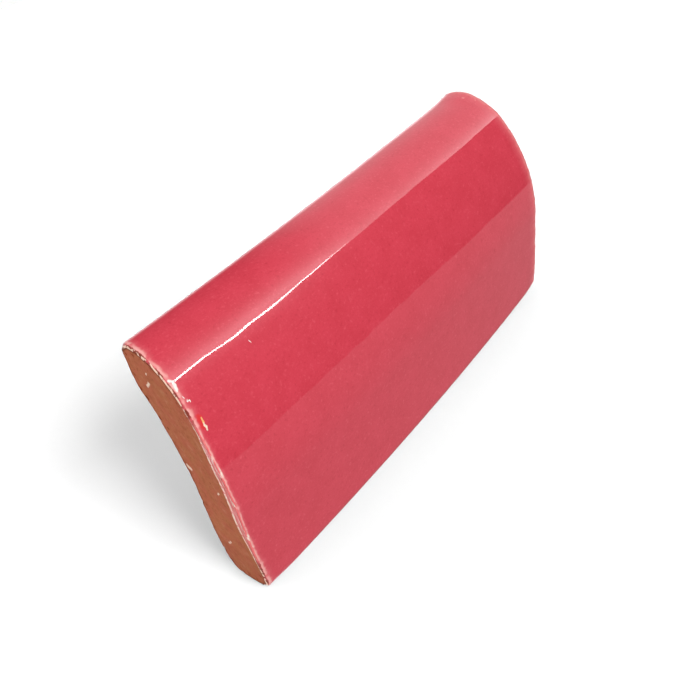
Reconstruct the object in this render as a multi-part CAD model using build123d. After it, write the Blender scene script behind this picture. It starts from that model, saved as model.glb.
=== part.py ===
from build123d import *
import os
from math import asin, cos, degrees, radians, sin, sqrt

# A glazed trim tile: one fired piece of red clay with a rounded top edge and a hollow back.
# It stands on its bottom edge. X runs along its length, the glaze faces -Y, and Z is up.
# The origin is under the middle of the tile, on the level that it stands on.

# Driving dimensions, in millimetres, and one angle in degrees
LENGTH = 150.0             # end to end, measured along the back
HEIGHT = 76.0              # bottom edge to the tip of the nose
EDGE_THICKNESS = 18.0      # at the bottom edge, from the back to the glazed face
FACE_SLOPE = 13.5          # lean of the flat part of the face out towards the shoulder
SHOULDER_RADIUS = 55.0     # wide round that the flat face runs into
NOSE_RADIUS = 18.5         # tighter round that turns the face over the top edge
LIP_RADIUS = 4.5           # round behind the nose, where the top edge meets the back
LIP_LAND = 9.5             # flat of the back along the top edge
FOOT_LAND = 3.5            # flat of the back along the bottom edge
HEEL_RADIUS = 4.0          # round between the back and the bottom edge
HOLLOW_DEPTH = 3.3         # hollow of the back between its two flats
BOW = 2.25                 # how far the middle stands in front of the ends, from the firing
ARRIS_RADIUS = 1.2         # soft edge of the glaze along the bottom edge and both ends

# The section is drawn as (height, thickness), from the corner where the bottom edge and the
# back would meet. These are directions and places in that drawing.
ALONG_FACE = Vector(cos(radians(FACE_SLOPE)), sin(radians(FACE_SLOPE)))
INTO_CLAY = Vector(sin(radians(FACE_SLOPE)), -cos(radians(FACE_SLOPE)))
FACE_START = Vector(0, EDGE_THICKNESS)
NOSE_CENTER = Vector(HEIGHT - NOSE_RADIUS, LIP_RADIUS)

# The shoulder meets the flat face and the nose smoothly, so its centre lies SHOULDER_RADIUS
# under the line of the face and SHOULDER_RADIUS - NOSE_RADIUS from the nose's centre.
CENTER_GAP = SHOULDER_RADIUS - NOSE_RADIUS
LINE_START = FACE_START + INTO_CLAY * SHOULDER_RADIUS - NOSE_CENTER
LINE_AHEAD = -LINE_START.dot(ALONG_FACE)
FLAT_LENGTH = LINE_AHEAD - sqrt(LINE_AHEAD**2 - LINE_START.dot(LINE_START) + CENTER_GAP**2)
SHOULDER_CENTER = NOSE_CENTER + LINE_START + ALONG_FACE * FLAT_LENGTH
NOSE_TURN = degrees(asin((NOSE_CENTER - SHOULDER_CENTER).Y / CENTER_GAP))
SHOULDER_TURN = 90 + FACE_SLOPE - NOSE_TURN
CROWN_THICKNESS = SHOULDER_CENTER.Y + SHOULDER_RADIUS

# The bow is an arc along the length, about an upright axis far behind the tile.
BACK_MIDDLE = (CROWN_THICKNESS - BOW) / 2
BOW_RADIUS = LENGTH**2 / (8 * BOW) + BOW / 2
BOW_HALF_ANGLE = degrees(asin(LENGTH / 2 / BOW_RADIUS))
BOW_AXIS = Axis((0, BACK_MIDDLE + BOW_RADIUS, 0), (0, 0, 1))
SECTION_PLANE = Plane(origin=(0, BACK_MIDDLE, 0), x_dir=(0, 0, 1), z_dir=(1, 0, 0))


def section():
    """The section: flat face, shoulder, nose and lip, then the hollow back and the heel."""
    hollow_top = HEIGHT - LIP_RADIUS - LIP_LAND
    hollow_bottom = HEEL_RADIUS + FOOT_LAND
    hollow_middle = (hollow_top + hollow_bottom) / 2
    with BuildSketch(SECTION_PLANE) as sketch:
        with BuildLine():
            flat = PolarLine(FACE_START, FLAT_LENGTH, FACE_SLOPE)
            shoulder = JernArc(flat @ 1, flat % 1, SHOULDER_RADIUS, -SHOULDER_TURN)
            nose = JernArc(shoulder @ 1, shoulder % 1, NOSE_RADIUS, -NOSE_TURN)
            lip = JernArc(nose @ 1, nose % 1, LIP_RADIUS, -90)
            Line(lip @ 1, (hollow_top, 0))
            ThreePointArc((hollow_top, 0), (hollow_middle, HOLLOW_DEPTH), (hollow_bottom, 0))
            foot = Line((hollow_bottom, 0), (HEEL_RADIUS, 0))
            heel = JernArc(foot @ 1, foot % 1, HEEL_RADIUS, -90)
            Line(heel @ 1, FACE_START)
        make_face()
    return sketch.sketch


def bowed_bar():
    """The section carried along the bow, from one end of the tile to the other."""
    first_end = section().rotate(BOW_AXIS, -BOW_HALF_ANGLE)
    return revolve(first_end, BOW_AXIS, 2 * BOW_HALF_ANGLE)


def glaze_rim(bar):
    """The sharp edges round the glaze: along the bottom edge, and over the face at both ends."""
    glazed = bar.faces().filter_by(lambda face: face.normal_at().Y < -0.01)
    bare = bar.faces() - glazed
    rim = glazed.edges() & bare.edges()
    return rim.sort_by(Axis.Z)[:-1]    # the last one is the smooth line behind the nose


def trim_tile():
    """The whole tile, with its glazed edges softened."""
    bar = bowed_bar()
    return fillet(glaze_rim(bar), ARRIS_RADIUS)


os.makedirs("parts", exist_ok=True)
export_step(trim_tile(), "parts/trim_tile.step")
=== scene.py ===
from math import asin, ceil, cos, pi, radians, sin, sqrt, tan

import bpy
import numpy as np
from mathutils import Matrix, Vector, noise
from mathutils.geometry import delaunay_2d_cdt


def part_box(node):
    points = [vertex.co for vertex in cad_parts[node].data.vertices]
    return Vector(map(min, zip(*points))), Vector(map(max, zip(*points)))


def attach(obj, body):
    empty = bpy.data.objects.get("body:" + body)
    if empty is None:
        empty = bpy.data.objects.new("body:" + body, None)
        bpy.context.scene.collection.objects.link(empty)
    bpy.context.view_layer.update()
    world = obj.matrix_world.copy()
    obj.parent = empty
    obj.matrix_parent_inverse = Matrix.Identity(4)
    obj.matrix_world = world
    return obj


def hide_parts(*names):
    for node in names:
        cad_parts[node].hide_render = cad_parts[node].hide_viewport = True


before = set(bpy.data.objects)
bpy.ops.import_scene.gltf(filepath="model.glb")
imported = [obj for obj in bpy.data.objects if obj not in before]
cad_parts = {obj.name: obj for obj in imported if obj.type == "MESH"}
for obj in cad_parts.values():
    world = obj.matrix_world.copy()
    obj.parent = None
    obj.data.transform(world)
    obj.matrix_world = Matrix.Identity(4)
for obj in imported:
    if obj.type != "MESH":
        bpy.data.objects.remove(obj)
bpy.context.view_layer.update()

# The tile stands on its bottom edge: X runs along its length, the glaze faces -Y, Z is up.
# The near end in the picture is the one at -X. Shapes are worked out in millimetres as
# (along, height, depth): along the length, up from the bottom edge, and forward from the back.
NODE = "trim_tile"
MM = 0.001
low_corner, high_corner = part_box(NODE)

# Section of the tile, in millimetres and degrees
LENGTH = 150.0
HEIGHT = (high_corner[2] - low_corner[2]) / MM
EDGE_THICKNESS = 18.0
FACE_SLOPE = 13.5
SHOULDER_RADIUS = 55.0
NOSE_RADIUS = 18.5
LIP_RADIUS = 4.5
LIP_LAND = 9.5             # flat of the back under the lip
FOOT_LAND = 3.5            # flat of the back above the heel
HEEL_RADIUS = 4.0
HOLLOW_DEPTH = 3.3
BOW = 2.25                 # rise of the back's middle over its ends
FOOT_ARRIS = 3.0           # where the glazed face turns under
BACK_AT_ENDS = high_corner[1] / MM

# Soft edges round the ends, in millimetres
GLAZED_ARRIS = 1.0         # under the glaze of the near end
FAR_ARRIS = 2.2            # under the glaze of the far end
OVERRUN_ARRIS = 0.55       # where the glaze runs over onto the near end
BARE_ARRIS = 0.35          # on bare clay
LIP_GLAZED = 52.0          # degrees of the lip that the glaze runs over

# Glaze that runs over onto the near end: how far, how thick, and the heights where it sets in and fades
OVERRUN_REACH = 5.2
OVERRUN_RISE = 0.75
OVERRUN_FOOT = (5.0, 28.0)
OVERRUN_TOP = (67.0, 40.0)

# Worn or full places of both ends: height, depth, radius, and how far in (or out, if negative)
FAR_WORN_PLACES = (
    (75.0, 7.0, 12.0, -0.95),
    (1.0, 17.0, 10.0, 0.8),
)
NEAR_WORN_PLACES = (
    (0.0, 18.0, 11.0, 0.65),
    (64.0, 1.0, 9.0, -0.45),
    (19.0, 0.5, 18.0, -0.80),
)
# Dents in the near end: height, depth, radius and how deep
DENTS = (
    (6.9, 0.5, 1.1, 0.7),
    (2.6, 1.2, 0.9, 0.5),
    (59.7, 1.6, 1.1, 0.5),
    (50.9, 4.6, 0.6, 0.3),
    (26.0, 3.2, 0.8, 0.4),
    (15.5, 0.4, 0.9, 0.5),
)
# Pale grains in the near end's clay: height and depth of both ends, and radius
GRAINS = (
    (64.4, 6.1, 65.6, 7.8, 0.60),
    (68.6, 9.0, 69.0, 9.5, 0.35),
    (38.9, 5.2, 38.5, 6.3, 1.00),
    (12.8, 7.2, 14.0, 8.7, 0.60),
    (34.0, 16.3, 34.6, 17.1, 0.40),
)

# Spacing of the mesh, in millimetres
POINT_SPACING = 0.6
FINE_RING = 0.3
COARSE_RING = 1.5
RING_GROWTH = 1.12
CAP_SPACING = 0.5
CAP_CLEAR = 0.6            # share of that spacing which stays clear of the cap's edge
ARRIS_STEPS = 7
LEAST_ARC_STEPS = 6
SAME_POINT = 1e-6

# Unevenness: height and size of its features in millimetres, and the seed of its noise
GLAZE_SWELL = (0.05, 38.0, 3)
CLAY_SWELL = (0.10, (45.0, 5.0, 5.0), 5)
CLAY_GRAIN = (0.05, 2.6, 6)
CLAY_CRUMBLE = (0.16, 1.9, 9)
CUT_SWELL = (0.10, 9.0, 7)
CUT_GRAIN = (0.05, 1.8, 8)
NOISE_SHIFT = (17.3, 5.1, 9.7)     # sets the noises of different seeds apart
# Ragged arris: share of its radius, size in millimetres and seed
ARRIS_RAGGED = (0.3, 3.0, 1)
ARRIS_FRAYED = (0.3, 1.1, 2)
LEAST_ARRIS = 0.12

# Where one thing turns into another, in millimetres inside the glaze's border
OVERRUN_TAPER = (0.0, 3.0)
BARE_TO_GLAZED = (-0.6, 0.4)
CLAY_TO_GLAZE = (-0.5, 0.5)
CRUMBLE_FADE = (6.0, 1.0)          # as shares across the arris
SHARP_OVERRUN = (0.0, 0.5)         # as shares of the overrun
CUT_FADE = (0.0, 2.0)              # in millimetres inside the edge of a cut end

# The hand-cut ends lean out of square: run of the end per millimetre of height and of depth
NEAR_END_LEAN = (0.0415, -0.0857)
FAR_END_LEAN = (-0.0038, 0.0203)
LEAN_CENTER = (38.0, 12.0)

# Camera: place and clip in metres, lens and sensor in millimetres. Its up direction makes the roll.
CAMERA_PLACE = (-0.14626, -0.15323, 0.14903)
CAMERA_LOOKS_ALONG = (0.55926, 0.66714, -0.49210)
CAMERA_UP = (0.58150, 0.11055, 0.80601)
CAMERA_LENS = 40.79
CAMERA_SENSOR = 36.0
CAMERA_CLIP = 0.01


# Section outline

class Outline:
    """A closed section walked clockwise as (height, depth) points with outward normals."""

    def __init__(self, start, heading):
        self.place = np.array(start, float)
        self.heading = radians(heading)
        self.points = []
        self.normals = []
        self.marks = {}

    def _put(self, point, heading):
        """Adds a point with the normal to the left of the heading."""
        self.points.append(point)
        self.normals.append((-sin(heading), cos(heading)))

    def line(self, length):
        """A straight run ahead."""
        steps = max(1, ceil(length / POINT_SPACING))
        ahead = np.array([cos(self.heading), sin(self.heading)])
        for step in range(1, steps + 1):
            self._put(self.place + ahead * length * step / steps, self.heading)
        self.place = self.points[-1]

    def arc(self, radius, turn):
        """A smooth arc that turns clockwise by turn degrees."""
        turn = radians(turn)
        steps = max(LEAST_ARC_STEPS, ceil(radius * turn / POINT_SPACING))
        inward = np.array([sin(self.heading), -cos(self.heading)])
        center = self.place + inward * radius
        for step in range(1, steps + 1):
            heading = self.heading - turn * step / steps
            self._put(center + radius * np.array([-sin(heading), cos(heading)]), heading)
        self.place = self.points[-1]
        self.heading -= turn

    def hollow(self, end, depth):
        """An arc that bulges into the clay by depth, from here to end."""
        start = self.place
        chord = np.linalg.norm(np.subtract(end, start))
        radius = chord**2 / (8 * depth) + depth / 2
        half = asin(chord / 2 / radius)
        center = (start + np.array(end)) / 2 - np.array([0, radius - depth])
        steps = ceil(2 * half * radius / POINT_SPACING)
        for step in range(1, steps + 1):
            angle = half - 2 * half * step / steps
            self.points.append(center + radius * np.array([sin(angle), cos(angle)]))
            self.normals.append((-sin(angle), -cos(angle)))
        self.place = self.points[-1]

    def mark(self, name):
        """Names the last point."""
        self.marks[name] = len(self.points) - 1


def face_and_turns():
    """The flat face's length, and the turns of the shoulder and the nose, all meeting smoothly."""
    slope = radians(FACE_SLOPE)
    along = np.array([cos(slope), sin(slope)])
    inward = np.array([sin(slope), -cos(slope)])
    nose_center = np.array([HEIGHT - NOSE_RADIUS, LIP_RADIUS])
    from_nose = np.array([0, EDGE_THICKNESS]) + inward * SHOULDER_RADIUS - nose_center
    ahead = -from_nose @ along
    center_gap = SHOULDER_RADIUS - NOSE_RADIUS
    flat_length = ahead - sqrt(ahead**2 - from_nose @ from_nose + center_gap**2)
    nose_turn = asin(-(from_nose + along * flat_length)[1] / center_gap) * 180 / pi
    return flat_length, 90 + FACE_SLOPE - nose_turn, nose_turn


def section_outline():
    """The section from the heel along the bottom edge, up the face, over the nose and down the back."""
    flat_length, shoulder_turn, nose_turn = face_and_turns()
    arris_turn = 90 - FACE_SLOPE
    arris_tangent = FOOT_ARRIS * tan(radians(arris_turn) / 2)
    outline = Outline((0, HEEL_RADIUS), 90)
    outline.line(EDGE_THICKNESS - HEEL_RADIUS - arris_tangent)
    outline.mark("glaze_start")
    outline.arc(FOOT_ARRIS, arris_turn)
    outline.line(flat_length - arris_tangent)
    outline.arc(SHOULDER_RADIUS, shoulder_turn)
    outline.arc(NOSE_RADIUS, nose_turn)
    outline.arc(LIP_RADIUS, LIP_GLAZED)
    outline.mark("glaze_end")
    outline.arc(LIP_RADIUS, 90 - LIP_GLAZED)
    outline.line(LIP_LAND)
    outline.hollow((HEEL_RADIUS + FOOT_LAND, 0), HOLLOW_DEPTH)
    outline.heading = radians(-180)
    outline.line(FOOT_LAND)
    outline.arc(HEEL_RADIUS, 90)
    return outline


# Handmade unevenness

def smooth_noise(points, size, seed):
    """Soft noise between -1 and 1 at each point, with features of about that size."""
    shift = Vector([seed * way for way in NOISE_SHIFT])
    scale = np.broadcast_to(np.asarray(size, float), (3,))
    return np.array([noise.noise(Vector(point) + shift) for point in (points / scale).tolist()])


def relief(points, kind):
    """Height of one kind of unevenness at each point."""
    height, size, seed = kind
    return height * smooth_noise(points, size, seed)


def smooth_step(value, low, high):
    """A soft step from 0 at low to 1 at high."""
    share = np.clip((value - low) / (high - low), 0, 1)
    return share * share * (3 - 2 * share)


def bend(points):
    """Bows the straight tile about an upright axis far behind it, and sets it in the frame."""
    bow_radius = LENGTH**2 / (8 * BOW) + BOW / 2
    half_angle = asin(LENGTH / 2 / bow_radius)
    angle = points[:, 0] / bow_radius
    reach = bow_radius + points[:, 2]
    x = reach * np.sin(angle)
    y = BACK_AT_ENDS + bow_radius * cos(half_angle) - reach * np.cos(angle)
    return np.column_stack([x, y, points[:, 1]])


def end_place(side, section_points):
    """Place along the length of the cut end over the section, at side -1 or 1."""
    lean = NEAR_END_LEAN if side < 0 else FAR_END_LEAN
    tilt = (section_points - np.array(LEAN_CENTER)) @ np.array(lean)
    return side * LENGTH / 2 + tilt


def overrun(side, height):
    """How far the glaze runs over onto an end at a height: only the near end has it."""
    if side > 0:
        return np.zeros_like(height)
    return OVERRUN_REACH * smooth_step(height, *OVERRUN_FOOT) * smooth_step(height, *OVERRUN_TOP)


def glazed_end(side, section_points):
    """Place along the length of an end's glazed border, with the thickness of the glaze that runs over it."""
    rise = OVERRUN_RISE * overrun(side, section_points[:, 0]) / OVERRUN_REACH
    return end_place(side, section_points) + side * rise


# Mesh of the tile

class Skin:
    """The section's loop of points with what each point needs to become a row of the mesh."""

    def __init__(self):
        outline = section_outline()
        self.loop = np.array(outline.points)
        self.normal = np.array(outline.normals)
        self.count = len(self.loop)
        gaps = np.linalg.norm(np.diff(self.loop, axis=0), axis=1)
        run = np.concatenate([[0], np.cumsum(gaps)])
        start = run[outline.marks["glaze_start"]]
        end = run[outline.marks["glaze_end"]]
        self.cover = np.minimum(run - start, end - run)    # how far inside the glaze's border

    def end(self, side, section):
        """Place along the length where the skin meets an end, thickened by the glaze that runs over it."""
        clay = end_place(side, section)
        return clay + (glazed_end(side, section) - clay) * smooth_step(self.cover, *OVERRUN_TAPER)

    def arris(self, side):
        """Radius of the soft edge at one end, all round the section."""
        sharp = smooth_step(overrun(side, self.loop[:, 0]) / OVERRUN_REACH, *SHARP_OVERRUN)
        whole = GLAZED_ARRIS if side < 0 else FAR_ARRIS
        glazed = whole + (OVERRUN_ARRIS - whole) * sharp
        radius = BARE_ARRIS + (glazed - BARE_ARRIS) * smooth_step(self.cover, *BARE_TO_GLAZED)
        place = np.column_stack([np.full(self.count, side * LENGTH), self.loop])
        ragged = relief(place, ARRIS_RAGGED) + relief(place, ARRIS_FRAYED)
        return np.maximum(radius + np.minimum(radius, GLAZED_ARRIS) * ragged, LEAST_ARRIS)


def ring_places():
    """Shares of the length where the rows of the mesh lie, close together near both ends."""
    steps = [FINE_RING]
    while sum(steps) < LENGTH / 2:
        steps.append(min(steps[-1] * RING_GROWTH, COARSE_RING))
    half = np.concatenate([[0], np.cumsum(steps)])
    half = half / half[-1] / 2
    return np.concatenate([half, 1 - half[-2::-1]])


def arris_rows(skin, side, radius):
    """Rows over the soft edge of one end, from the cut face to the straight side."""
    rows = []
    for step in range(ARRIS_STEPS):
        angle = pi / 2 * (1 - step / ARRIS_STEPS)
        section = skin.loop - skin.normal * (radius * (1 - cos(angle)))[:, None]
        along = skin.end(side, section) - side * radius * (1 - sin(angle))
        cover = np.minimum(skin.cover, radius * (pi / 2 - angle) + overrun(side, skin.loop[:, 0]))
        rim = np.full(skin.count, step / ARRIS_STEPS)
        rows.append((along, section, cover, rim))
    return rows


def side_rows(skin):
    """All rows of the tile's skin, from the near end to the far end."""
    near = skin.arris(-1)
    far = skin.arris(1)
    near_start = skin.end(-1, skin.loop) + near
    far_start = skin.end(1, skin.loop) - far
    run_over = overrun(-1, skin.loop[:, 0])
    rows = arris_rows(skin, -1, near)
    for share in ring_places():
        along = near_start + (far_start - near_start) * share
        from_near = along - near_start + near * pi / 2
        from_far = far_start - along + far * pi / 2
        cover = np.minimum(skin.cover, np.minimum(from_near + run_over, from_far))
        rim = np.minimum(from_near / near, from_far / far) / (pi / 2)
        rows.append((along, skin.loop, cover, rim))
    rows += reversed(arris_rows(skin, 1, far))
    return rows


def uneven(points, cover, rim):
    """How far each point of the skin stands out: slow waves in the glaze, drag lines and grain in clay."""
    glaze = relief(points, GLAZE_SWELL)
    clay = relief(points, CLAY_SWELL) + relief(points, CLAY_GRAIN)
    clay += relief(points, CLAY_CRUMBLE) * smooth_step(rim, *CRUMBLE_FADE)
    return clay + (glaze - clay) * smooth_step(cover, *CLAY_TO_GLAZE)


def dent(points):
    """Sinks the dents and the worn places of the ends into the clay, and lets the full ones stand out."""
    middle = np.array(LEAN_CENTER)
    near = [(-1, place) for place in NEAR_WORN_PLACES + DENTS]
    far = [(1, place) for place in FAR_WORN_PLACES]
    for side, (height, depth, radius, sink) in near + far:
        spot = np.array([height, depth])
        center = np.array([end_place(side, spot), height, depth])
        inward = np.array([-side, *((middle - spot) / np.linalg.norm(middle - spot))]) / sqrt(2)
        share = smooth_step(np.linalg.norm(points - center, axis=1), radius, 0)
        points = points + inward * (sink * share)[:, None]
    return points


def skin_faces(rows, count):
    """Four-sided faces between neighbouring rows of the skin."""
    faces = []
    for row in range(rows - 1):
        a = row * count
        b = a + count
        for k in range(count):
            after = (k + 1) % count
            faces.append((a + k, a + after, b + after, b + k))
    return faces


def tile_surface():
    """Points and faces of the tile, with each point's cover by glaze and its place across the rim."""
    skin = Skin()
    count = skin.count
    rows = side_rows(skin)
    points = np.vstack([np.column_stack([along, section]) for along, section, _, _ in rows])
    cover = np.concatenate([row[2] for row in rows])
    rim = np.concatenate([row[3] for row in rows])
    normals = np.tile(np.column_stack([np.zeros(count), skin.normal]), (len(rows), 1))
    points = points + normals * uneven(points, cover, rim)[:, None]
    faces = skin_faces(len(rows), count)
    for side, first in ((-1, 0), (1, (len(rows) - 1) * count)):
        inner, gap, glaze, triangles = fill_cap(side, points[first:first + count], skin.cover > 0)
        start = len(points)
        for triangle in triangles:
            corners = [first + i if i < count else start + i - count for i in triangle]
            faces.append(corners if side > 0 else corners[::-1])
        points = np.vstack([points, inner])
        cover = np.concatenate([cover, glaze])
        rim = np.concatenate([rim, -gap])
    return bend(dent(points)), faces, cover, rim


def make_tile():
    """The tile, with its cover and its rim kept at each point for the material."""
    points, faces, cover, rim = tile_surface()
    mesh = bpy.data.meshes.new("tile")
    mesh.from_pydata((points * MM).tolist(), [], faces)
    mesh.update()
    mesh.shade_smooth()
    for name, values in (("cover", cover), ("rim", rim)):
        layer = mesh.attributes.new(name, "FLOAT", "POINT")
        layer.data.foreach_set("value", values.astype(np.float32))
    tile = bpy.data.objects.new("tile", mesh)
    bpy.context.scene.collection.objects.link(tile)
    return tile


def cap_spots(border):
    """An even grid of (height, depth) spots over the reach of a border."""
    low, high = border.min(0), border.max(0)
    row_gap = CAP_SPACING * sqrt(3) / 2
    spots = []
    for row, depth in enumerate(np.arange(low[1], high[1], row_gap)):
        for height in np.arange(low[0] + row % 2 * CAP_SPACING / 2, high[0], CAP_SPACING):
            spots.append((height, depth))
    return np.array(spots)


def cap_triangles(border, spots):
    """Triangles between a border and the spots inside it, by their numbers in both lists joined."""
    corners = [Vector(spot) for spot in np.vstack([border, spots])]
    rim = [(i, (i + 1) % len(border)) for i in range(len(border))]
    _, _, triangles, origin, _, _ = delaunay_2d_cdt(corners, rim, [], 1, SAME_POINT)
    first = [source[0] for source in origin]
    return [[first[i] for i in triangle] for triangle in triangles]


def fill_cap(side, edge, glazed):
    """What fills a cut end: points, their gap to the edge, their cover by glaze, and triangles."""
    border = edge[:, 1:]
    spots = cap_spots(border)
    gaps = np.sqrt(((spots[:, None] - border[None]) ** 2).sum(-1))
    keep = inside(spots, border) & (gaps.min(1) > CAP_SPACING * CAP_CLEAR)
    spots = spots[keep]
    gap = gaps.min(1)[keep]
    run_over = overrun(side, spots[:, 0])
    cover = run_over - gaps[:, glazed].min(1)[keep]
    thick = smooth_step(cover / np.maximum(run_over, CAP_SPACING), 0, 1)
    clay = end_place(side, spots)
    place = np.column_stack([clay + (glazed_end(side, spots) - clay) * thick, spots])
    rough = relief(place, CUT_SWELL) + relief(place, CUT_GRAIN)
    place[:, 0] += rough * smooth_step(gap, *CUT_FADE)
    return place, gap, cover, cap_triangles(border, spots)


def inside(points, edge):
    """Which points lie inside a closed edge."""
    result = np.zeros(len(points), bool)
    for a, b in zip(edge, np.roll(edge, -1, axis=0)):
        crosses = (a[1] > points[:, 1]) != (b[1] > points[:, 1])
        slope = (b[0] - a[0]) / (b[1] - a[1]) if b[1] != a[1] else 0
        result ^= crosses & (points[:, 0] < a[0] + slope * (points[:, 1] - a[1]))
    return result


# Materials

# Detail of a noise, in octaves
MUCH_DETAIL = 3.0
SOME_DETAIL = 2.0
LITTLE_DETAIL = 1.0
NO_DETAIL = 0.0
NOISE_MIDDLE = 0.5
NOISE_SPREAD = 4.0
# Shares of a spot's and of a line's reach that have the full color
SPOT_CORE = 0.55
LINE_CORE = 0.4


class Painter:
    """Short ways to add and join shader nodes."""

    def __init__(self, name):
        self.material = bpy.data.materials.new(name)
        self.material.use_nodes = True
        self.tree = self.material.node_tree
        self.shader = self.tree.nodes["Principled BSDF"]

    def node(self, kind, **settings):
        """A new node with those settings."""
        node = self.tree.nodes.new(kind)
        for key, value in settings.items():
            setattr(node, key, value)
        return node

    def plug(self, socket, value):
        """Links a node's output to the socket, or sets the socket to a plain value."""
        if isinstance(value, bpy.types.NodeSocket):
            self.tree.links.new(value, socket)
        else:
            socket.default_value = value

    def math(self, operation, first, second=0.0):
        """One operation on two numbers."""
        node = self.node("ShaderNodeMath", operation=operation)
        self.plug(node.inputs[0], first)
        self.plug(node.inputs[1], second)
        return node.outputs[0]

    def step(self, value, low, high):
        """A soft step from 0 at low to 1 at high."""
        node = self.node("ShaderNodeMapRange", interpolation_type="SMOOTHSTEP")
        self.plug(node.inputs["Value"], value)
        self.plug(node.inputs["From Min"], low)
        self.plug(node.inputs["From Max"], high)
        return node.outputs["Result"]

    def vector(self, operation, first, second):
        """One operation on two places."""
        node = self.node("ShaderNodeVectorMath", operation=operation)
        self.plug(node.inputs[0], first)
        self.plug(node.inputs[1], second)
        return node.outputs["Value" if operation in ("DISTANCE", "DOT_PRODUCT") else "Vector"]

    def part(self, place, axis):
        """One coordinate of a place."""
        split = self.node("ShaderNodeSeparateXYZ")
        self.plug(split.inputs[0], place)
        return split.outputs[axis]

    def noise(self, place, size, detail=SOME_DETAIL):
        """Noise between about -1 and 1 with features of that size in millimetres."""
        node = self.node("ShaderNodeTexNoise")
        self.plug(node.inputs["Vector"], place)
        self.plug(node.inputs["Scale"], 1 / (size * MM))
        self.plug(node.inputs["Detail"], detail)
        return self.both(self.math("SUBTRACT", node.outputs["Fac"], NOISE_MIDDLE), NOISE_SPREAD)

    def both(self, first, second):
        """The share where two shares hold together."""
        return self.math("MULTIPLY", first, second)

    def near_point(self, place, point, reach):
        """1 at the point, 0 beyond reach, in metres."""
        return self.step(self.vector("DISTANCE", place, point), reach, reach * SPOT_CORE)

    def near_line(self, place, start, end, reach):
        """1 on the straight line between two points, 0 beyond reach, in metres."""
        run = np.subtract(end, start)
        share = self.vector("DOT_PRODUCT", self.vector("SUBTRACT", place, start), tuple(run / (run @ run)))
        clamped = self.node("ShaderNodeClamp")
        self.plug(clamped.inputs["Value"], share)
        along = self.node("ShaderNodeVectorMath", operation="MULTIPLY_ADD")
        self.plug(along.inputs[0], clamped.outputs[0])
        self.plug(along.inputs[1], tuple(run))
        self.plug(along.inputs[2], start)
        return self.step(self.vector("DISTANCE", place, along.outputs["Vector"]), reach, reach * LINE_CORE)

    def mix(self, share, first, second):
        """First color where share is 0, second where it is 1."""
        node = self.node("ShaderNodeMix", data_type="RGBA")
        self.plug(node.inputs["Factor"], share)
        colors = [socket for socket in node.inputs if socket.type == "RGBA"]
        for socket, color in zip(colors, (first, second)):
            self.plug(socket, (*color, 1.0) if isinstance(color, tuple) else color)
        return [socket for socket in node.outputs if socket.type == "RGBA"][0]

    def tint(self, color, value, band, tone):
        """The color turned to a tone over a band of a value, given as start, full and strength."""
        start, full, strength = band
        return self.mix(self.both(self.step(value, start, full), strength), color, tone)

    def blend(self, share, first, second):
        """First number where share is 0, second where it is 1."""
        node = self.node("ShaderNodeMapRange")
        self.plug(node.inputs["Value"], share)
        self.plug(node.inputs["To Min"], first)
        self.plug(node.inputs["To Max"], second)
        return node.outputs["Result"]


GLAZE_ROUGHNESS = 0.05
CLAY_ROUGHNESS = 0.9
GLAZE_SHINE = 0.5
MATT_SHINE = 0.02
SHINE_FROM = (0.8, 2.0)         # as shares across the arris
# Fine relief in millimetres: slow waves in the glaze, grit in the clay, waver of the spots' borders
WAVE_SIZE = 7.0
WAVE_HEIGHT = 0.012
GRIT_SIZE = 0.5
GRIT_HEIGHT = 0.030
WAVER_SIZE = 0.8
# Border of the glaze, in millimetres: it is frayed all round and meanders away from the ends
FRAY_SIZE = 1.3
FRAY = 0.10
MEANDER_SIZE = 5.0
MEANDER = 0.45
MEANDER_FROM = (2.0, 6.0)       # as shares across the arris
BORDER_STEP = (-0.03, 0.09)

GLAZE_DEEP = (0.665, 0.053, 0.081)
GLAZE_LIGHT = (0.715, 0.062, 0.095)
GLAZE_SPECK = (0.78, 0.100, 0.135)
GLAZE_DARK_SPECK = (0.57, 0.038, 0.060)
GLAZE_THIN = (0.82, 0.20, 0.22)
# Pale thin glaze at the rim, also painted along the arris as its highlight
RIM_PALE_AND_HIGHLIGHT = (0.93, 0.47, 0.43)
# White where the pale body shows at the arris, also painted there as glints
RIM_WHITE_AND_GLINT = (0.97, 0.76, 0.66)
RIM_CREAM = (0.95, 0.64, 0.50)
RIM_ROSE = (0.85, 0.170, 0.175)
RIM_BROWN = (0.25, 0.050, 0.035)
CLAY_RED = (0.495, 0.137, 0.077)
CLAY_BROWN = (0.470, 0.157, 0.074)
CLAY_DARK = (0.20, 0.050, 0.022)
CLAY_NICK = (0.26, 0.035, 0.012)
CLAY_PALE = (0.72, 0.42, 0.26)
GRAIN_PALE = (0.86, 0.64, 0.50)
# White of the painted highlights and of a pale speck in the glaze
GLINT_AND_SPECK_WHITE = (1.0, 0.90, 0.85)
SCAR_RED = (0.78, 0.050, 0.055)
SCAR_ORANGE = (0.98, 0.50, 0.20)
SCAR_CREAM = (0.98, 0.80, 0.62)

# Glaze: sizes in millimetres, and bands of the noise as start, full and strength
GLAZE_CLOUD_SIZE = 6.0
GLAZE_CLOUDS = (-1.2, 1.2)
SPECK_SIZE = 0.9
LIGHT_SPECKS = (0.25, 1.5, 0.75)
DARK_SPECKS = (-0.25, -1.5, 0.70)
FINE_SPECK_SIZE = 0.42
LIGHT_FINE_SPECKS = (0.2, 1.4, 0.45)
DARK_FINE_SPECKS = (-0.2, -1.4, 0.45)

# Rim of the glaze: bands as shares across the arris, from where each sets in to where it is full
THIN_BAND = (2.4, 0.9, 0.40)    # the last number is its strength
UNDER_BAND = (0.70, 0.55)
# The pale band is thin glaze with a painted highlight along the arris
HIGHLIGHT_BAND = ((1.45, 0.85), (0.55, 0.75))
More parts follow.
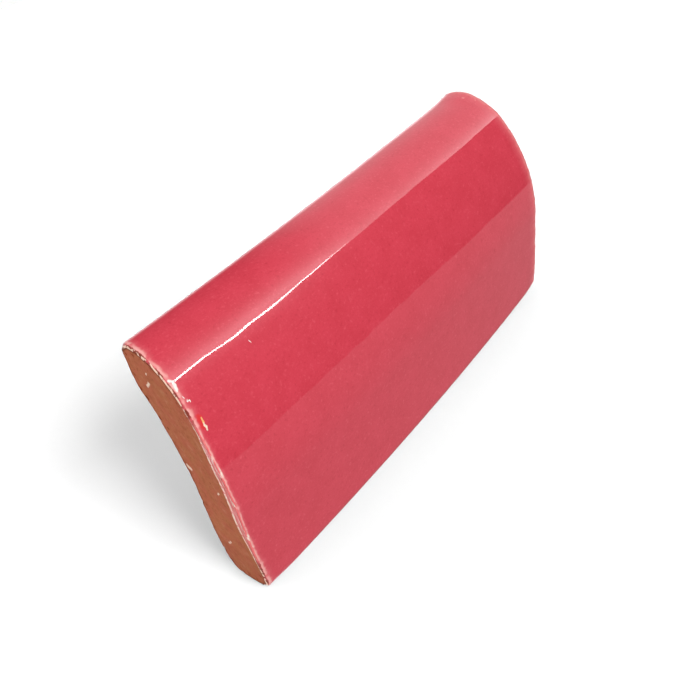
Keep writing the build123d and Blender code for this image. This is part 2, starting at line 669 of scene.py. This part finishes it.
# The white band is pale body showing, with painted glints on the arris
WHITE_GLINT_BAND = ((1.3, 0.9), (-1.6, 0.1))
HIGHLIGHT_STRENGTH = (0.35, 0.85)    # at the far end and at the near end
NEAR_HALF = (0.0, -20.0 * MM)   # from the middle of the tile towards its near end
# Rim: shares of the overrun where the thin glaze turns from brown to rose, and where the white streaks with
# their painted glints set in
ROSE_OVERRUN = (0.1, 0.4)
GLINT_OVERRUN = (0.5, 0.9)
# Rim: sizes of its streaks, patches, flecks and dashes in millimetres, and bands of their noise
STREAK_SIZE = 1.1
STREAK_DRAG = (1.0, 1.0, 0.35)  # streaks are drawn out upwards
ROSE_STREAKS = (0.1, 1.0, 0.35)
GLINT_STREAKS = (0.2, 0.7)
PATCH_SIZE = 2.0
ROSE_PATCHES = (0.2, 0.9, 0.4)
BROWN_PATCHES = (-0.8, 0.0)
HIGHLIGHT_PATCHES = (-1.2, 0.2)
FLECK_SIZE = 0.8
FLECK_SHIFT = 0.10
DASH_SIZE = 1.4
DASHES = (-0.35, 0.05)
DASHES_JOIN = 0.15              # how much more whole they are in the overrun
CREAM_REACH = (0.75, 1.4)       # width of the cream border in millimetres, beside the overrun and in it
CREAM_EDGE = (1.0, 0.75)

# Clay: sizes in millimetres, and bands of the noise as start, full and strength
CLAY_DRAG = (0.3, 1.0, 1.0)     # its grain is drawn out along the tile
CLAY_CLOUD_SIZE = 5.0
CLAY_CLOUDS = (-0.8, 0.8)
BLOTCH_SIZE = 2.2
DARK_BLOTCHES = (0.0, 1.4, 0.35)
PALE_BLOTCHES = (-0.1, -1.4, 0.20)
PORE_SIZE = 0.8
DARK_PORES = (-0.2, -1.3, 0.60)
PALE_GRIT = (0.4, 1.5, 0.28)
# Clay along a cut edge: millimetres inside the edge as negative numbers, shares across the arris beyond it
CUT_EDGE = ((-0.8, -0.1), (2.5, 1.0))
CUT_EDGE_DARK = 0.7
NICK_EDGE = ((-2.6, -0.8), (4.0, 1.5))
NICK_BLOTCHES = (0.2, 0.7, 0.75)
# Painted shade in the near end's dents
DENT_SHADE = 0.75
FOOT_SHADE = (18.0 * MM, 4.0 * MM, 0.16)

# Marks and painted highlights in the glaze near the near end, as along and height in millimetres
SCAR_LINE = ((-72.97, 58.7), (-73.14, 57.4), (-73.38, 55.9))
SCAR_SIDE = ((-73.3, 59.2), (-73.7, 57.0))
SCAR_RADIUS = 0.34
SCAR_SIDE_RADIUS = 1.0
# Painted highlights, a glint on a ridge and the lamp's reflection curling round the arris, then a pale speck:
# radius, then the line that each follows
GLINTS_AND_SPECK = (
    (0.17, ((-73.5, 64.9), (-73.4, 64.2), (-73.0, 63.8), (-73.1, 63.4), (-72.6, 63.4), (-72.7, 62.9))),
    (0.42, ((-73.5, 68.9), (-73.0, 68.3), (-73.2, 67.5), (-73.6, 66.4))),
    (0.13, ((-52.0, 65.1), (-51.9, 64.5))),
)
# Pale spots in the glaze at the far end: along, height, depth and radius
FAR_SPOTS = ((70.2, 74.9, 10.8, 0.7), (71.7, 73.2, 14.3, 0.4))


def face_depth(height):
    """Depth of the glazed skin at a height, taken from the section."""
    outline = section_outline()
    section = np.array(outline.points)[outline.marks["glaze_start"]:outline.marks["glaze_end"]]
    return float(np.interp(height, section[:, 0], section[:, 1]))


def frame_point(along, height, depth):
    """A place of the tile as a point of the frame, in metres."""
    return tuple((bend(np.array([[along, height, depth]]))[0] * MM).tolist())


def on_near_end(height, depth):
    """A point of the near end's cut face, in metres."""
    return frame_point(float(end_place(-1, np.array([height, depth]))), height, depth)


def on_face(along, height):
    """A point of the glazed face, in metres."""
    return frame_point(along, height, face_depth(height))


def glaze_color(paint, place):
    """Coral glaze with faint clouds and fine light and dark specks."""
    cloud = paint.noise(place, GLAZE_CLOUD_SIZE, MUCH_DETAIL)
    speck = paint.noise(place, SPECK_SIZE, LITTLE_DETAIL)
    fine = paint.noise(place, FINE_SPECK_SIZE, LITTLE_DETAIL)
    color = paint.mix(paint.step(cloud, *GLAZE_CLOUDS), GLAZE_DEEP, GLAZE_LIGHT)
    color = paint.tint(color, speck, LIGHT_SPECKS, GLAZE_SPECK)
    color = paint.tint(color, speck, DARK_SPECKS, GLAZE_DARK_SPECK)
    color = paint.tint(color, fine, LIGHT_FINE_SPECKS, GLAZE_SPECK)
    return paint.tint(color, fine, DARK_FINE_SPECKS, GLAZE_DARK_SPECK)


def near_half(paint, place):
    """1 towards the near end, 0 towards the far end."""
    return paint.step(paint.part(place, "X"), *NEAR_HALF)


def overrun_share(paint, place):
    """1 at the heights of the near end where the glaze runs over, 0 elsewhere."""
    height = paint.part(place, "Z")
    foot, top = ([value * MM for value in ends] for ends in (OVERRUN_FOOT, OVERRUN_TOP))
    share = paint.both(paint.step(height, *foot), paint.step(height, *top))
    return paint.both(share, near_half(paint, place))


def between(paint, value, sides):
    """1 between two soft steps of a value, 0 outside them."""
    return paint.both(*(paint.step(value, *side) for side in sides))


def rose_or_brown(paint, rose_share, streak, patch):
    """The thin glaze under the rim: streaky rose where the glaze runs over, brown elsewhere."""
    # Pale streaks in the rose overrun, partly a painted highlight
    rose = paint.tint(RIM_ROSE, streak, ROSE_STREAKS, RIM_PALE_AND_HIGHLIGHT)
    rose = paint.tint(rose, patch, ROSE_PATCHES, CLAY_RED)
    return paint.mix(rose_share, RIM_BROWN, rose)


def rim_color(paint, place, cover, rim, glaze):
    """The glaze over the soft edge of an end: cream border, brown or rose thin glaze, then a pale line of
    thin glaze with a painted highlight, and white streaks with painted glints.
    """
    run_over = overrun_share(paint, place)
    streak = paint.noise(paint.vector("MULTIPLY", place, STREAK_DRAG), STREAK_SIZE)
    patch = paint.noise(place, PATCH_SIZE)
    edge = paint.math("ADD", rim, paint.both(paint.noise(place, FLECK_SIZE), FLECK_SHIFT))
    color = paint.tint(glaze, edge, THIN_BAND, GLAZE_THIN)
    rose_share = paint.step(run_over, *ROSE_OVERRUN)
    broken = paint.math("MAXIMUM", rose_share, paint.step(patch, *BROWN_PATCHES))
    under = paint.both(paint.step(edge, *UNDER_BAND), broken)
    color = paint.mix(under, color, rose_or_brown(paint, rose_share, streak, patch))
    # Painted highlight along the arris, stronger at the near end and broken by patches
    at_end = paint.blend(near_half(paint, place), *HIGHLIGHT_STRENGTH)
    strength = paint.both(paint.step(patch, *HIGHLIGHT_PATCHES), at_end)
    color = paint.mix(paint.both(between(paint, edge, HIGHLIGHT_BAND), strength), color, RIM_PALE_AND_HIGHLIGHT)
    # White streaks in the overrun: pale body showing, with painted glints on the arris
    glint = paint.both(between(paint, edge, WHITE_GLINT_BAND), paint.step(run_over, *GLINT_OVERRUN))
    color = paint.mix(paint.both(glint, paint.step(streak, *GLINT_STREAKS)), color, RIM_WHITE_AND_GLINT)
    return paint.mix(cream_dashes(paint, place, cover, run_over), color, RIM_CREAM)


def cream_dashes(paint, place, cover, run_over):
    """1 on the broken cream line along the border of the glaze at an end."""
    reach = paint.blend(run_over, *CREAM_REACH)
    line = paint.step(paint.math("DIVIDE", cover, reach), *CREAM_EDGE)
    dash = paint.math("ADD", paint.noise(place, DASH_SIZE, LITTLE_DETAIL), paint.both(run_over, DASHES_JOIN))
    return paint.both(line, paint.step(dash, *DASHES))


def clay_color(paint, place, rim):
    """Red clay with clouds, drag lines along the tile, dark pores, and red nicks along its cut edges."""
    dragged = paint.vector("MULTIPLY", place, CLAY_DRAG)
    cloud = paint.noise(dragged, CLAY_CLOUD_SIZE, MUCH_DETAIL)
    blotch = paint.noise(dragged, BLOTCH_SIZE)
    grain = paint.noise(dragged, PORE_SIZE, MUCH_DETAIL)
    color = paint.mix(paint.step(cloud, *CLAY_CLOUDS), CLAY_RED, CLAY_BROWN)
    color = paint.tint(color, blotch, DARK_BLOTCHES, CLAY_DARK)
    color = paint.tint(color, blotch, PALE_BLOTCHES, CLAY_PALE)
    color = paint.tint(color, grain, DARK_PORES, CLAY_DARK)
    color = paint.tint(color, grain, PALE_GRIT, CLAY_PALE)
    color = paint.mix(paint.both(between(paint, rim, CUT_EDGE), CUT_EDGE_DARK), color, CLAY_DARK)
    nicked = paint.tint(color, blotch, NICK_BLOTCHES, CLAY_NICK)
    color = paint.mix(between(paint, rim, NICK_EDGE), color, nicked)
    color = paint.tint(color, paint.part(place, "Z"), FOOT_SHADE, CLAY_DARK)
    return spots_color(paint, place, color)


def wavering(paint, place):
    """The place shifted a little to and fro, so that what is drawn there has an uneven border."""
    waver = paint.node("ShaderNodeTexNoise")
    paint.plug(waver.inputs["Vector"], place)
    paint.plug(waver.inputs["Scale"], 1 / (WAVER_SIZE * MM))
    centered = paint.vector("SUBTRACT", waver.outputs["Color"], (NOISE_MIDDLE,) * 3)
    return paint.vector("ADD", place, paint.vector("MULTIPLY", centered, (WAVER_SIZE * MM,) * 3))


def spots_color(paint, place, color):
    """Painted shade in the near end's dents, and pale grains in its clay."""
    place = wavering(paint, place)
    # Each dent gets painted shade, each grain pale clay
    for height, depth, radius, _ in DENTS:
        spot = paint.near_point(place, on_near_end(height, depth), radius * MM)
        color = paint.mix(paint.both(spot, DENT_SHADE), color, CLAY_DARK)
    for low, low_depth, high, high_depth, radius in GRAINS:
        ends = on_near_end(low, low_depth), on_near_end(high, high_depth)
        color = paint.mix(paint.near_line(place, *ends, radius * MM), color, GRAIN_PALE)
    return color


def marks_and_highlights_color(paint, place, color):
    """The scar, painted highlights and a pale speck in the glaze near the near end, and the pale spots at the
    far end.
    """
    place = wavering(paint, place)
    side = [on_face(*spot) for spot in SCAR_SIDE]
    color = paint.mix(paint.near_line(place, *side, SCAR_SIDE_RADIUS * MM), color, SCAR_RED)
    scar = [on_face(*spot) for spot in SCAR_LINE]
    for start, end, tone in zip(scar, scar[1:], (SCAR_ORANGE, SCAR_CREAM)):
        color = paint.mix(paint.near_line(place, start, end, SCAR_RADIUS * MM), color, tone)
    # Painted highlights on a ridge and round the arris, and a pale speck
    for radius, line in GLINTS_AND_SPECK:
        points = [on_face(*spot) for spot in line]
        for start, end in zip(points, points[1:]):
            color = paint.mix(paint.near_line(place, start, end, radius * MM), color, GLINT_AND_SPECK_WHITE)
    for along, height, depth, radius in FAR_SPOTS:
        spot = paint.near_point(place, frame_point(along, height, depth), radius * MM)
        color = paint.mix(spot, color, GLAZE_THIN)
    return color


def glaze_border(paint, place, cover, rim):
    """How far inside the border of the glaze a place lies, in millimetres."""
    meander = paint.both(paint.noise(place, MEANDER_SIZE), MEANDER)
    meander = paint.both(meander, paint.step(rim, *MEANDER_FROM))
    fray = paint.both(paint.noise(place, FRAY_SIZE), FRAY)
    return paint.math("ADD", cover, paint.math("ADD", meander, fray))


def fine_relief(paint, place, glazed):
    """Normals with slow waves in the glaze and grit in the clay."""
    wave = paint.both(paint.noise(place, WAVE_SIZE, NO_DETAIL), paint.both(glazed, WAVE_HEIGHT))
    grit = paint.both(paint.noise(place, GRIT_SIZE, MUCH_DETAIL), paint.blend(glazed, GRIT_HEIGHT, 0.0))
    bump = paint.node("ShaderNodeBump")
    bump.inputs["Distance"].default_value = MM
    paint.plug(bump.inputs["Height"], paint.math("ADD", wave, grit))
    return bump.outputs["Normal"]


def make_tile_material():
    """Coral glaze over red clay: the border between them follows the cover of each point."""
    paint = Painter("glazed_terracotta")
    place = paint.node("ShaderNodeTexCoord").outputs["Object"]
    cover = paint.node("ShaderNodeAttribute", attribute_name="cover").outputs["Fac"]
    rim = paint.node("ShaderNodeAttribute", attribute_name="rim").outputs["Fac"]
    border = glaze_border(paint, place, cover, rim)
    glazed = paint.step(border, *BORDER_STEP)
    glaze = marks_and_highlights_color(paint, place, rim_color(paint, place, border, rim, glaze_color(paint, place)))
    color = paint.mix(glazed, clay_color(paint, place, rim), glaze)
    shine = paint.both(glazed, paint.step(rim, *SHINE_FROM))
    inputs = paint.shader.inputs
    paint.plug(inputs["Base Color"], color)
    paint.plug(inputs["Roughness"], paint.blend(glazed, CLAY_ROUGHNESS, GLAZE_ROUGHNESS))
    paint.plug(inputs["Specular IOR Level"], paint.blend(shine, MATT_SHINE, GLAZE_SHINE))
    paint.plug(inputs["Normal"], fine_relief(paint, place, glazed))
    return paint.material


def card_material():
    """Glow of a studio card, read from its corners."""
    material = bpy.data.materials.new("card_glow")
    material.use_nodes = True
    tree = material.node_tree
    tree.nodes.clear()
    output = tree.nodes.new("ShaderNodeOutputMaterial")
    glow = tree.nodes.new("ShaderNodeEmission")
    level = tree.nodes.new("ShaderNodeAttribute")
    level.attribute_name = "glow"
    tree.links.new(level.outputs["Fac"], glow.inputs["Strength"])
    tree.links.new(glow.outputs["Emission"], output.inputs["Surface"])
    return material


# Studio

def seen_directly(tree):
    """1 for rays of the camera, of mirrors and of glass, and 0 for the light that surfaces scatter."""
    path = tree.nodes.new("ShaderNodeLightPath")
    total = path.outputs["Is Camera Ray"]
    for name in ("Is Glossy Ray", "Is Transmission Ray"):
        node = tree.nodes.new("ShaderNodeMath")
        node.operation = "MAXIMUM"
        tree.links.new(total, node.inputs[0])
        tree.links.new(path.outputs[name], node.inputs[1])
        total = node.outputs[0]
    return total


FLOOR_REACH = 60.0
FLOOR_PALE = 0.20          # with the lamps that light the floor alone, this comes out white
FLOOR_GLOW = 0.70          # even light that the tile gets back from the floor
SKY_LOW = 0.25             # light of the sky at the horizon
SKY_TOP = 0.84             # and overhead


def floor_material():
    """White paper with the tile's shadow, which gives the tile an even light from below."""
    material = bpy.data.materials.new("floor_paper")
    material.use_nodes = True
    material.cycles.emission_sampling = "NONE"
    tree = material.node_tree
    tree.nodes.clear()
    paper = tree.nodes.new("ShaderNodeBsdfDiffuse")
    paper.inputs["Color"].default_value = (FLOOR_PALE, FLOOR_PALE, FLOOR_PALE, 1)
    glow = tree.nodes.new("ShaderNodeEmission")
    glow.inputs["Strength"].default_value = FLOOR_GLOW
    either = tree.nodes.new("ShaderNodeMixShader")
    tree.links.new(seen_directly(tree), either.inputs["Fac"])
    tree.links.new(glow.outputs[0], either.inputs[1])
    tree.links.new(paper.outputs[0], either.inputs[2])
    output = tree.nodes.new("ShaderNodeOutputMaterial")
    tree.links.new(either.outputs[0], output.inputs["Surface"])
    return material


def stage_piece(name, corners, faces, material):
    """A piece of the studio, which is no part of the tile."""
    mesh = bpy.data.meshes.new(name)
    mesh.from_pydata(corners, [], faces)
    mesh.materials.append(material)
    piece = bpy.data.objects.new(name, mesh)
    bpy.context.scene.collection.objects.link(piece)
    return piece


def mirrored_card(name, lines, glow, material):
    """A studio card through lines of points, each with its glow, that shows only in the glaze."""
    count = len(lines[0])
    faces = []
    for row in range(len(lines) - 1):
        for k in range(row * count, row * count + count - 1):
            faces.append((k, k + 1, k + count + 1, k + count))
    card = stage_piece(name, [point for line in lines for point in line], faces, material)
    layer = card.data.attributes.new("glow", "FLOAT", "POINT")
    layer.data.foreach_set("value", np.array(glow, np.float32).ravel())
    card.visible_camera = False
    card.visible_diffuse = False
    card.visible_shadow = False


def make_world():
    """A white sky where it is seen, and a softer one, brighter overhead, as light."""
    world = bpy.data.worlds.new("studio")
    bpy.context.scene.world = world
    world.use_nodes = True
    tree = world.node_tree
    place = tree.nodes.new("ShaderNodeTexCoord")
    height = tree.nodes.new("ShaderNodeSeparateXYZ")
    tree.links.new(place.outputs["Generated"], height.inputs[0])
    sky = tree.nodes.new("ShaderNodeMapRange")
    tree.links.new(height.outputs["Z"], sky.inputs["Value"])
    sky.inputs["To Min"].default_value = SKY_LOW
    sky.inputs["To Max"].default_value = SKY_TOP
    strength = tree.nodes.new("ShaderNodeMapRange")
    tree.links.new(seen_directly(tree), strength.inputs["Value"])
    tree.links.new(sky.outputs["Result"], strength.inputs["To Min"])
    strength.inputs["To Max"].default_value = 1.0
    background = tree.nodes["Background"]
    background.inputs["Color"].default_value = (1, 1, 1, 1)
    tree.links.new(strength.outputs["Result"], background.inputs["Strength"])


# Lamps: the direction that each comes from, its level on white, and its width in degrees
KEY_FROM = (-0.153, -0.866, 0.477)
KEY_ANGLE = 24.0
KEY_LIGHT = 0.34
FLOOR_FROM = (-0.064, -0.911, 0.407)
FLOOR_LIGHT = 6.6
DOME_ANGLE = 170.0
DOME_LIGHT = 2.48
FILL_FROM = (-0.80, -0.25, 0.55)
FILL_LIGHT = 0.25


def far_lamp(name, comes_from, level, angle):
    """A far soft lamp that brings a square-on white surface to that level, and never shows itself."""
    data = bpy.data.lights.new(name, "SUN")
    data.energy = level * pi
    data.angle = radians(angle)
    lamp = bpy.data.objects.new(name, data)
    lamp.rotation_euler = (-Vector(comes_from)).to_track_quat("-Z", "Y").to_euler()
    lamp.visible_camera = False
    lamp.visible_glossy = False
    bpy.context.scene.collection.objects.link(lamp)
    return lamp


def make_lamps(floor):
    """A soft key from the front, a fill for the near end, and a lamp and a dome for the floor alone."""
    far_lamp("key", KEY_FROM, KEY_LIGHT, KEY_ANGLE)
    fill = far_lamp("fill", FILL_FROM, FILL_LIGHT, KEY_ANGLE)
    fill.data.use_shadow = False
    only_floor = bpy.data.collections.new("lit_by_floor_lamp")
    only_floor.objects.link(floor)
    floor_lamp = far_lamp("floor_lamp", FLOOR_FROM, FLOOR_LIGHT, KEY_ANGLE)
    floor_dome = far_lamp("floor_dome", (0, 0, 1), DOME_LIGHT, DOME_ANGLE)
    floor_dome.data.cycles.use_multiple_importance_sampling = False
    for lamp in (floor_lamp, floor_dome):
        lamp.light_linking.receiver_collection = only_floor


# Foot of the black flag on the floor, with the height of its top, in metres
FLAG_LINE = (
    (-0.300, -0.102, 0.153),
    (-0.030, -0.101, 0.151),
    (-0.015, -0.101, 0.152),
    (-0.006, -0.101, 0.140),
    (0.000, -0.100, 0.135),
    (0.010, -0.100, 0.137),
    (0.019, -0.100, 0.132),
    (0.030, -0.100, 0.136),
    (0.070, -0.097, 0.137),
    (0.110, -0.082, 0.124),
    (0.140, -0.070, 0.109),
    (0.240, -0.030, 0.077),
)
# Share of the flag's height and the glow there, which the lamp spills on its near part
FLAG_SPILL = ((0.0, 0.0), (0.5, 0.05), (0.7, 0.2), (0.85, 0.6), (1.0, 1.2))
SPILL_ENDS = (0.02, 0.09)  # places along the flag where the spill starts to fade and where it ends
# Thin lamp on the flag: place along it, height of the lamp in metres and its glow
STRIP_LINE = (
    (-0.300, 0.0080, 36.0),
    (-0.030, 0.0070, 36.0),
    (-0.015, 0.0080, 36.0),
    (-0.006, 0.0085, 36.0),
    (0.000, 0.0090, 36.0),
    (0.010, 0.0080, 36.0),
    (0.019, 0.0085, 36.0),
    (0.030, 0.0060, 30.0),
    (0.062, 0.0040, 22.0),
    (0.076, 0.0020, 5.0),
)
GREY_GLOW = (0.35, 0.50)   # beside the tile and at the flag's foot
GREY_START = -0.004        # place across the floor where the grey card starts
GREY_RISE = 0.0004         # its height above the floor
# Canopy, in metres and in degrees from low in front of the tile to low behind it
CANOPY_RADIUS = 1.2
CANOPY_REACH = (-1.5, 3.0)
CANOPY_ANGLES = (12.0, 172.0)
CANOPY_STEPS = (40, 60)
# Glow of the canopy's near part and of its far part: angle where it starts to fade, angle below which
# it grows no more, degrees over which it fades, glow all over, and glow in front
CANOPY_GLOW = ((50.0, 44.0), (50.0, 28.0), (13.0, 15.0), (0.0, 0.8), (3.1, 1.5))
FAR_PART = (0.66, 0.95)    # places along the canopy where the near part turns into the far part
BEHIND_GLOW = 1.25
BEHIND_ANGLES = (146.0, 162.0)


def canopy_glow(angle, x):
    """Glow of the canopy: strong low in front, less behind, dark overhead, more even in its far part."""
    share = smooth_step(x, *FAR_PART)
    start, low, fade, base, front = (near + (far - near) * share for near, far in CANOPY_GLOW)
    behind = BEHIND_GLOW * smooth_step(angle, *BEHIND_ANGLES)
    return base + front * np.exp((start - np.maximum(angle, low)) / fade) + behind


def make_canopy(material):
    """A curved softbox from low in front of the tile to behind it."""
    turns, spans = CANOPY_STEPS
    reach = np.linspace(*CANOPY_REACH, spans + 1)
    lines = []
    glow = []
    for angle in np.linspace(*CANOPY_ANGLES, turns + 1):
        y = -CANOPY_RADIUS * cos(radians(angle))
        z = CANOPY_RADIUS * sin(radians(angle))
        lines.append([(x, y, z) for x in reach])
        glow.append(canopy_glow(angle, reach))
    mirrored_card("canopy", lines, glow, material)


def make_cards(material):
    """Black flag, thin lamp and grey card in front of the tile."""
    x, y, top = np.array(FLAG_LINE).T
    spill = smooth_step(x, SPILL_ENDS[1], SPILL_ENDS[0])
    lines = [np.column_stack([x, y, top * share]).tolist() for share, _ in FLAG_SPILL]
    mirrored_card("black_flag", lines, [spill * level for _, level in FLAG_SPILL], material)
    strip_x, width, level = np.array(STRIP_LINE).T
    strip_y = np.interp(strip_x, x, y)
    foot = np.interp(strip_x, x, top)
    lines = [np.column_stack([strip_x, strip_y, foot + rise]).tolist() for rise in (0, width)]
    mirrored_card("strip_lamp", lines, [level, level], material)
    rise = np.full(len(x), GREY_RISE)
    beside = np.column_stack([x, np.full(len(x), GREY_START), rise]).tolist()
    ahead = np.column_stack([x, y, rise]).tolist()
    mirrored_card("grey_card", [beside, ahead], [[level] * len(x) for level in GREY_GLOW], material)


def make_studio():
    """White paper under the tile, soft light, and cards that the glaze mirrors."""
    reach = FLOOR_REACH
    corners = [(-reach, -reach, 0), (reach, -reach, 0), (reach, reach, 0), (-reach, reach, 0)]
    floor = stage_piece("floor", corners, [(0, 1, 2, 3)], floor_material())
    make_world()
    make_lamps(floor)
    material = card_material()
    make_cards(material)
    make_canopy(material)


def make_camera():
    """The photo's camera, which is rolled."""
    data = bpy.data.cameras.new("camera")
    data.sensor_width = CAMERA_SENSOR
    data.lens = CAMERA_LENS
    data.clip_start = CAMERA_CLIP
    camera = bpy.data.objects.new("camera", data)
    ahead = Vector(CAMERA_LOOKS_ALONG).normalized()
    right = ahead.cross(Vector(CAMERA_UP)).normalized()
    up = right.cross(ahead)
    turn = Matrix((right, up, -ahead)).transposed().to_4x4()
    camera.matrix_world = Matrix.Translation(CAMERA_PLACE) @ turn
    bpy.context.scene.collection.objects.link(camera)
    bpy.context.scene.camera = camera


tile = make_tile()
tile.data.materials.append(make_tile_material())
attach(tile, "root")
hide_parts(NODE)
tile.visible_diffuse = False    # no red light from the glaze on the white floor
make_studio()
make_camera()
bpy.context.scene.view_settings.view_transform = "Standard"
